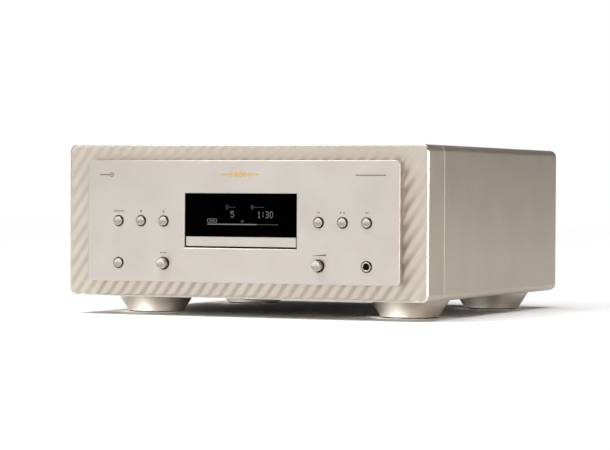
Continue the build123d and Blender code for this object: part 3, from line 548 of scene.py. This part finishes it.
def make_bezel():
    """The deep front frame: rippled face, service opening behind the plate, hollow back."""
    half = ((bezel_high.x - bezel_low.x) / 2, (bezel_high.z - bezel_low.z) / 2)
    split = {"arc": 10, "along": 400, "up": 150}

    def rim(inset, radius):
        return rounded(half[0] - inset, half[1] - inset, radius, (0, body_middle), **split)

    outside = rim(0, corner_radius)
    face_edge = rim(bezel_chamfer, corner_radius - bezel_chamfer)
    opening = rounded(*service_half, opening_radius, (0, service_middle), **split)
    cavity = rim(bezel_wall, corner_radius / 2)
    wall_back = bezel_front + 2 * bezel_wall

    def level(outline, y):
        return [(x, y, z) for x, z in outline]

    loops = [level(rim(bezel_rear_chamfer, corner_radius - bezel_rear_chamfer), bezel_high.y)]
    loops.append(level(outside, bezel_high.y - bezel_rear_chamfer))
    loops.append(level(outside, bezel_front + bezel_chamfer))
    loops.append(level(face_edge, bezel_front))
    for t in ripple_rings:
        loop = []
        for (x0, z0), (x1, z1) in zip(face_edge, opening):
            x, z = x0 + t * (x1 - x0), z0 + t * (z1 - z0)
            from_edge = t * math.hypot(x1 - x0, z1 - z0)
            loop.append((x, bezel_front + ripple(x, z, from_edge), z))
        loops.append(loop)
    loops.append(level(opening, wall_back))
    loops.append(level(cavity, wall_back))
    loops.append(level(cavity, bezel_high.y))
    bezel = skin("front_bezel_rippled", loops, blasted_aluminium, sharp=40)
    bezel.data.materials.append(cut_aluminium)
    chamfer_faces = bezel.data.polygons[2 * len(outside) : 3 * len(outside)]
    for face in chamfer_faces:
        face.material_index = 1
    return bezel


fit_piece(make_bezel(), "housing", "champagne_aluminium", "front_bezel")


# ---------------------------------------------------------------- centre plate

buttons = (
    "sound_mode_button",
    "stop_button",
    "eject_button",
    "previous_button",
    "play_pause_button",
    "next_button",
    "power_button",
)
knobs = ("input_knob", "phones_level_knob")
jack_place = middle_of("phones_jack")

button_hole = 6.1 * MM
knob_hole = 7.0 * MM
jack_hole = 6.3 * MM
plate_corner = 4.5 * MM
plate_edge = 0.6 * MM
pane_gap = 0.4 * MM
lid_gap = 2.0 * MM
window_half = pane_high.x + pane_gap
window_low, window_high = lid_low.z - lid_gap, pane_high.z + pane_gap
window_middle = (window_low + window_high) / 2
window_corner = 0.6 * MM
plate_outlines = [
    rounded(
        (plate_high.x - plate_low.x) / 2,
        (plate_high.z - plate_low.z) / 2,
        plate_corner,
        (0, plate_middle),
        arc=12,
    ),
    rounded(window_half, (window_high - window_low) / 2, window_corner, (0, window_middle), arc=3),
    circle(jack_hole, jack_place),
]
plate_outlines += [circle(button_hole, middle_of(node)) for node in buttons]
plate_outlines += [circle(knob_hole, middle_of(node)) for node in knobs]
center_plate = cut_plate(
    "center_plate_brushed",
    plate_outlines,
    plate_front,
    plate_high.y - plate_front,
    plate_edge,
    brushed_aluminium,
)
fit_piece(center_plate, "housing", "brushed_champagne", "center_plate")


# ---------------------------------------------------------------- drawer lid and display

lid_corner = 0.5 * MM
lid_edge = 0.4 * MM
lid_outline = rounded(
    (lid_high.x - lid_low.x) / 2,
    (lid_high.z - lid_low.z) / 2,
    lid_corner,
    (0, (lid_low.z + lid_high.z) / 2),
    arc=3,
)
drawer_lid = cut_plate(
    "drawer_lid_brushed", [lid_outline], lid_low.y, lid_high.y - lid_low.y, lid_edge, brushed_aluminium
)
fit_piece(drawer_lid, "tray", "brushed_champagne", "drawer_front")

# Dot-matrix characters, five dots wide and seven high
dot_patterns = {
    "5": ("#####", "#....", "####.", "....#", "....#", "#...#", ".###."),
    "1": ("..#..", ".##..", "..#..", "..#..", "..#..", "..#..", ".###."),
    "3": ("####.", "....#", "....#", ".###.", "....#", "....#", "####."),
    "0": (".###.", "#...#", "#...#", "#...#", "#...#", "#...#", ".###."),
    ":": (".....", "..#..", "..#..", ".....", "..#..", "..#..", "....."),
    "disc": (".###.", "#...#", "#.#.#", "#...#", "#...#", "#...#", ".###."),
    "clock": (".###.", "#.#.#", "#.#.#", "#.###", "#...#", "#...#", ".###."),
    "bar": (".....", ".....", ".....", "#####", ".....", ".....", "....."),
}


def dots(text, left, bottom, height, width):
    """Outlines of the lit dots of some characters, from their lower left corner, in mm."""
    across, up = width / 5.6, height / 7
    character_pitch = width * 1.18
    dot_half = (across * 0.42 * MM, up * 0.42 * MM)
    outlines = []
    for index, character in enumerate(text):
        for row, line in enumerate(dot_patterns[character]):
            for column, dot in enumerate(line):
                if dot == "#":
                    x = (left + index * character_pitch + (column + 0.5) * across) * MM
                    z = (bottom + (6.5 - row) * up) * MM
                    outlines.append(rounded(*dot_half, 0.1 * MM, (x, z), 2))
    return outlines


def block_shape(left, bottom, right, top):
    """A rectangle as four corners."""
    return [(left, bottom), (right, bottom), (right, top), (left, top)]


def shifted(outline, x=0.0, z=0.0):
    """An outline in mm moved to a place in mm, in metres."""
    return [((x + u) * MM, (z + v) * MM) for u, v in outline]


def bar(left, bottom, right, top):
    """A rectangle's outline from its corners in mm."""
    return shifted(block_shape(left, bottom, right, top))


def badge(left, bottom, right, top, line):
    """The outlines of a thin rounded frame, in mm."""
    middle = ((left + right) / 2 * MM, (bottom + top) / 2 * MM)
    half = ((right - left) / 2 * MM, (top - bottom) / 2 * MM)
    return [
        rounded(*half, 0.9 * MM, middle, 4),
        rounded(half[0] - line * MM, half[1] - line * MM, 0.5 * MM, middle, 4),
    ]


# What the display shows, each with its left, bottom, height and width in mm
display_bright = (
    dots("5", -12.1, 111.4, 7.4, 4.8)
    + dots("1:30", 21.0, 111.4, 7.4, 4.2)
    + [bar(-40.8, 103.5, 20.1, 104.6)]
    + badge(-40.8, 106.1, -29.0, 110.2, 0.5)
    + dots("10", 0.3, 106.1, 2.6, 1.7)
)
display_dim = (
    dots(["disc", "bar", "bar"], -18.0, 120.8, 4.8, 3.6)
    + dots(["clock", "bar", "bar", "bar"], 12.9, 120.8, 4.8, 3.6)
    + [bar(20.6, 103.8, 46.4, 104.3), bar(-38.4, 107.5, -31.4, 108.8)]
)
character_thickness = 0.08 * MM
character_front = pane_low.y - character_thickness / 2
for name, outlines, finish in (
    ("display_characters", display_bright, display_glow),
    ("display_headings", display_dim, display_dim_glow),
):
    characters = cut_plate(name, outlines, character_front, character_thickness, 0, finish)
    fit_piece(characters, "housing", "frosted_acrylic")


# ---------------------------------------------------------------- printed marks


def icon(node, shapes, lift=11.0):
    """The outlines of a control's icon, lift mm above the control's middle."""
    x, z = middle_of(node)
    return [shifted(shape, x / MM, z / MM + lift) for shape in shapes]


forward_mark = [(-1.2, -1.2), (1.2, 0.0), (-1.2, 1.2)]
back_mark = [(-x, z) for x, z in forward_mark]
corner_mark = (-161 * MM, 159 * MM)
knob_lift = 12.0
printed = (
    icon("sound_mode_button", [block_shape(2.2 * i - 5.8, -0.9, 2.2 * i - 4.6, 0.9) for i in range(6)])
    + icon("stop_button", [block_shape(-1.1, -1.1, 1.1, 1.1)])
    + icon("eject_button", [[(-1.4, -0.4), (1.4, -0.4), (0, 1.3)], block_shape(-1.4, -1.3, 1.4, -0.7)])
    + icon("previous_button", [back_mark, block_shape(-1.9, -1.2, -1.4, 1.2)])
    + icon(
        "play_pause_button",
        [
            [(x - 1.8, z) for x, z in forward_mark],
            block_shape(0.9, -1.2, 1.5, 1.2),
            block_shape(2.2, -1.2, 2.8, 1.2),
        ],
    )
    + icon("next_button", [forward_mark, block_shape(1.4, -1.2, 1.9, 1.2)])
    + icon("input_knob", [block_shape(2.3 * i - 4.2, -0.8, 2.3 * i - 2.9, 0.8) for i in range(4)], knob_lift)
    + icon("phones_level_knob", [[(-9.0, -0.9), (9.0, -0.9), (9.0, 0.9)]], knob_lift)
    + [bar(139 + 3.0 * i, 158.3, 141.2 + 3.0 * i, 159.7) for i in range(12)]
    + [circle(2.7 * MM, corner_mark, 32), circle(1.9 * MM, corner_mark, 32)]
    + [circle(0.8 * MM, corner_mark, 16)]
    + [bar(-176 + 3.2 * i, 158.2, -173.8 + 3.2 * i, 159.8) for i in range(4)]
)
wave_heights = (1.2, 2.4, 1.6, 3.4, 5.2, 3.0, 6.4, 4.4, 7.0, 4.4, 6.4, 3.0, 5.2, 3.4, 1.6, 2.4, 1.2)
wave_width = 48.5
wave_middle = 159.5
wave_step = wave_width / len(wave_heights)
wave_gap = 0.55
emblem = []
for i, height in enumerate(wave_heights):
    wave_left = i * wave_step - wave_width / 2
    emblem.append(
        bar(
            wave_left + wave_gap,
            wave_middle - height / 2,
            wave_left + wave_step - wave_gap,
            wave_middle + height / 2,
        )
    )
ink_thickness = 0.1 * MM
for name, outlines, finish, slot in (
    ("printed_marks", printed, printed_ink, "dark_paint"),
    ("emblem_wave", emblem, gilt, "gold_plate"),
):
    marks = cut_plate(name, outlines, plate_front - ink_thickness / 2, ink_thickness, 0, finish)
    fit_piece(marks, "housing", slot)


# ---------------------------------------------------------------- buttons, knobs and socket


def dish(radius, depth, rings=8):
    """Profile points of a shallow concave face, from its middle out to its radius."""
    return [(radius * i / rings, depth * (1 - (i / rings) ** 2)) for i in range(rings + 1)]


def rim_round(radius, size, steps=4):
    """Profile points of a rounded outer edge between a face and a side."""
    return [
        (radius - size + size * math.sin(a), size - size * math.cos(a))
        for a in (math.pi / 2 * i / steps for i in range(steps + 1))
    ]


def turned_cap(node, radius, dish_depth, edge, skirt, stem):
    """A turned button or knob: a concave face, a rounded rim, and its stem behind. All in mm."""
    low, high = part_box(node)
    x, z = middle_of(node)
    length = (high.y - low.y) / MM
    skirt = min(skirt, length - 2)
    profile = dish(radius - edge - 0.25, dish_depth)
    profile += [(radius - edge, 0.0)]
    profile += rim_round(radius, edge)[1:]
    profile += [(radius, skirt), (stem, skirt), (stem, length), (0, length)]
    cap = lathe(node + "_turned", profile, turned_aluminium, (x, low.y, z))
    fit_piece(cap, node, "spun_aluminium", node)


for node in buttons:
    turned_cap(node, radius=5.0, dish_depth=0.5, edge=0.3, skirt=9.0, stem=2.5)
for node in knobs:
    turned_cap(node, radius=5.7, dish_depth=0.6, edge=0.4, skirt=12.0, stem=3.0)

jack_low, jack_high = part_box("phones_jack")
jack_length = (jack_high.y - jack_low.y) / MM
# The socket's ring, from its bore out over its rounded lip and back along its barrel
jack_profile = [(3.6, jack_length - 1), (3.6, 1.0), (3.8, 0.4), (4.1, 0.1), (4.4, 0.0), (4.8, 0.0)]
jack_profile += [(5.1, 0.12), (5.3, 0.4), (5.4, 0.85), (5.4, 9.5), (5.2, 9.5), (5.2, jack_length)]
jack_profile += [(0.01, jack_length), (0.01, jack_length - 1)]
phones_socket = lathe(
    "phones_socket_turned", jack_profile, turned_aluminium, (jack_place[0], jack_low.y, jack_place[1])
)
fit_piece(phones_socket, "housing", "zinc_steel", "phones_jack")


# ---------------------------------------------------------------- side panels


def side_outline(sign):
    """The channel section of a side panel: rounded outer corners and a lip at top and bottom."""
    middle = (side_high.z + side_low.z) / 2
    half = (side_high.z - side_low.z) / 2
    outer = sign * side_high.x
    inner = sign * side_low.x
    arc = 8
    points = [(inner, middle + half)]
    for i in range(arc + 1):
        a = math.radians(90 * i / arc)
        points.append(
            (
                outer - sign * corner_radius * (1 - math.sin(a)),
                middle + half - corner_radius * (1 - math.cos(a)),
            )
        )
    points += [(x, 2 * middle - z) for x, z in reversed(points)]
    wall = outer - sign * panel_wall
    points += [(inner, side_low.z + panel_wall), (wall, side_low.z + panel_wall)]
    points += [(wall, side_high.z - panel_wall), (inner, side_high.z - panel_wall)]
    return points


panel_edge = 0.7 * MM
for side, sign in (("left", -1), ("right", 1)):
    panel = cut_plate(
        side + "_side_panel_blasted",
        [side_outline(sign)],
        side_low.y,
        side_high.y - side_low.y,
        panel_edge,
        blasted_aluminium,
    )
    fit_piece(panel, "housing", "champagne_aluminium", side + "_side_panel")


# ---------------------------------------------------------------- feet

# From the screw's counterbore under the foot, out round the pad's seat and the foot's edge, up
# its flare and back down its bore, in mm
foot_profile = [
    (8.0, 3.0),
    (30.9, 3.0),
    (30.9, 1.2),
    (32.6, 1.2),
    (33.2, 1.4),
    (33.6, 1.9),
    (34.3, 3.6),
    (34.2, 3.8),
    (34.45, 4.1),
    (45.4, 20.6),
    (45.5, 20.85),
    (45.3, 21.0),
    (3.3, 21.0),
    (3.3, 9.0),
    (8.0, 9.0),
]
lit_by_foot_box = bpy.data.collections.new("lit_by_foot_box")
for node in sorted(name for name in frame["nodes"] if name.startswith("foot_")):
    if "pads" in node or "screws" in node:
        continue
    low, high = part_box(node)
    foot = lathe(
        node + "_turned",
        foot_profile,
        turned_foot_aluminium,
        ((low.x + high.x) / 2, (low.y + high.y) / 2, 0),
        axis="Z",
        steps=160,
    )
    fit_piece(foot, "housing", "spun_aluminium", node)
    lit_by_foot_box.objects.link(foot)


# ---------------------------------------------------------------- floor, light and camera

floor_reach = 9
floor_corners = [(x * floor_reach, y * floor_reach, 0) for x, y in ((-1, -1), (1, -1), (1, 1), (-1, 1))]
floor_mesh = bpy.data.meshes.new("floor")
floor_mesh.from_pydata(floor_corners, [], [(0, 1, 2, 3)])
# Plain pale studio floor: matt, with the faintest grain.
floor_finish = grained(
    "paper_backdrop_matt", ("#FAFAFA", "#FCFCFC"), (6.0, 6.0, 6.0), (0.85, 0.95), 0.01
)
floor = finish_mesh("floor", floor_mesh, floor_finish)


def soft_box(name, where, aim, size, power, colour):
    """A square studio soft box of that size in metres and power in watts."""
    light = bpy.data.lights.new(name, "AREA")
    light.shape = "SQUARE"
    light.size = size
    light.energy = power
    light.color = linear(colour)[:3]
    lamp = bpy.data.objects.new(name, light)
    lamp.location = where
    lamp.rotation_euler = (Vector(aim) - Vector(where)).to_track_quat("-Z", "Y").to_euler()
    lamp.visible_camera = False
    bpy.context.scene.collection.objects.link(lamp)


object_middle = (0, 0, body_middle)
# Soft boxes: where each stands, where it aims, its size in metres, its power in watts, its tint.
soft_boxes = {
    "key_soft_box": ((-0.3, -0.62, 0.95), (-0.05, -0.22, 0.15), 0.45, 7.0, "#FFFFFF"),
    "edge_soft_box": ((2.2, -0.95, 0.12), object_middle, 0.5, 12.0, "#FFE9D3"),
    "side_soft_box": ((0.55, -0.12, 0.15), (0.22, -0.2, 0.11), 0.2, 0.05, "#FFE9D3"),
    "foot_soft_box": ((-0.62, -1.7, 0.05), (0, -0.15, 0.01), 1.1, 330, "#FFFFFF"),
}
for name, (where, aim, size, power, colour) in soft_boxes.items():
    soft_box(name, where, aim, size, power, colour)
bpy.data.objects["foot_soft_box"].light_linking.receiver_collection = lit_by_foot_box
lit_backdrop = bpy.data.collections.new("lit_backdrop")
lit_backdrop.objects.link(floor)
# Light from straight above: one for everything, and one that only whitens the floor
overhead_spread = math.radians(50)
for name, energy, receivers in (("overhead_light", 1.0, None), ("backdrop_light", 1.4, lit_backdrop)):
    overhead = bpy.data.lights.new(name, "SUN")
    overhead.energy = energy
    overhead.angle = overhead_spread
    lamp = bpy.data.objects.new(name, overhead)
    lamp.light_linking.receiver_collection = receivers
    bpy.context.scene.collection.objects.link(lamp)

# Studio surround: an even grey, brighter in front and above. The camera sees plain white.
surround_even = 0.04
surround_front = 0.70
world = bpy.data.worlds.new("studio_surround")
world.use_nodes = True
bpy.context.scene.world = world
surround = world.node_tree
surround.nodes.clear()
outward = add_node(surround, "ShaderNodeTexCoord").outputs["Generated"]
bright_way = Vector((-0.3, -0.85, 0.42)).normalized()
facing = add_node(
    surround, "ShaderNodeVectorMath", {0: outward, 1: bright_way}, operation="DOT_PRODUCT"
).outputs["Value"]
strength = add_node(
    surround,
    "ShaderNodeMapRange",
    {
        "Value": facing,
        "From Min": -0.1,
        "From Max": 1.0,
        "To Min": surround_even,
        "To Max": surround_even + surround_front,
    },
    interpolation_type="SMOOTHSTEP",
).outputs["Result"]
lit = add_node(surround, "ShaderNodeBackground", {"Strength": strength, "Color": linear("#FFFFFF")})
seen = add_node(surround, "ShaderNodeBackground", {"Color": linear("#FFFFFF"), "Strength": 1.0})
camera_ray = add_node(surround, "ShaderNodeLightPath").outputs["Is Camera Ray"]
mixed = add_node(
    surround,
    "ShaderNodeMixShader",
    {0: camera_ray, 1: lit.outputs["Background"], 2: seen.outputs["Background"]},
)
add_node(surround, "ShaderNodeOutputWorld", {"Surface": mixed.outputs["Shader"]})

camera_place = Vector((1.22063, -2.82180, 0.13928))
camera_yaw, camera_pitch, camera_roll = math.radians(23.729), math.radians(0.708), math.radians(0.3186)
camera_lens = 152.48
forward = Vector(
    (
        -math.sin(camera_yaw) * math.cos(camera_pitch),
        math.cos(camera_yaw) * math.cos(camera_pitch),
        -math.sin(camera_pitch),
    )
)
level_right = Vector((math.cos(camera_yaw), math.sin(camera_yaw), 0))
level_up = level_right.cross(forward)
camera_right = math.cos(camera_roll) * level_right + math.sin(camera_roll) * level_up
camera_up = math.cos(camera_roll) * level_up - math.sin(camera_roll) * level_right
camera_data = bpy.data.cameras.new("camera")
camera_data.lens = camera_lens
camera = bpy.data.objects.new("camera", camera_data)
camera.matrix_world = Matrix(
    (
        (camera_right.x, camera_up.x, -forward.x, camera_place.x),
        (camera_right.y, camera_up.y, -forward.y, camera_place.y),
        (camera_right.z, camera_up.z, -forward.z, camera_place.z),
        (0, 0, 0, 1),
    )
)
bpy.context.scene.collection.objects.link(camera)
bpy.context.scene.camera = camera
bpy.context.scene.view_settings.view_transform = "Standard"
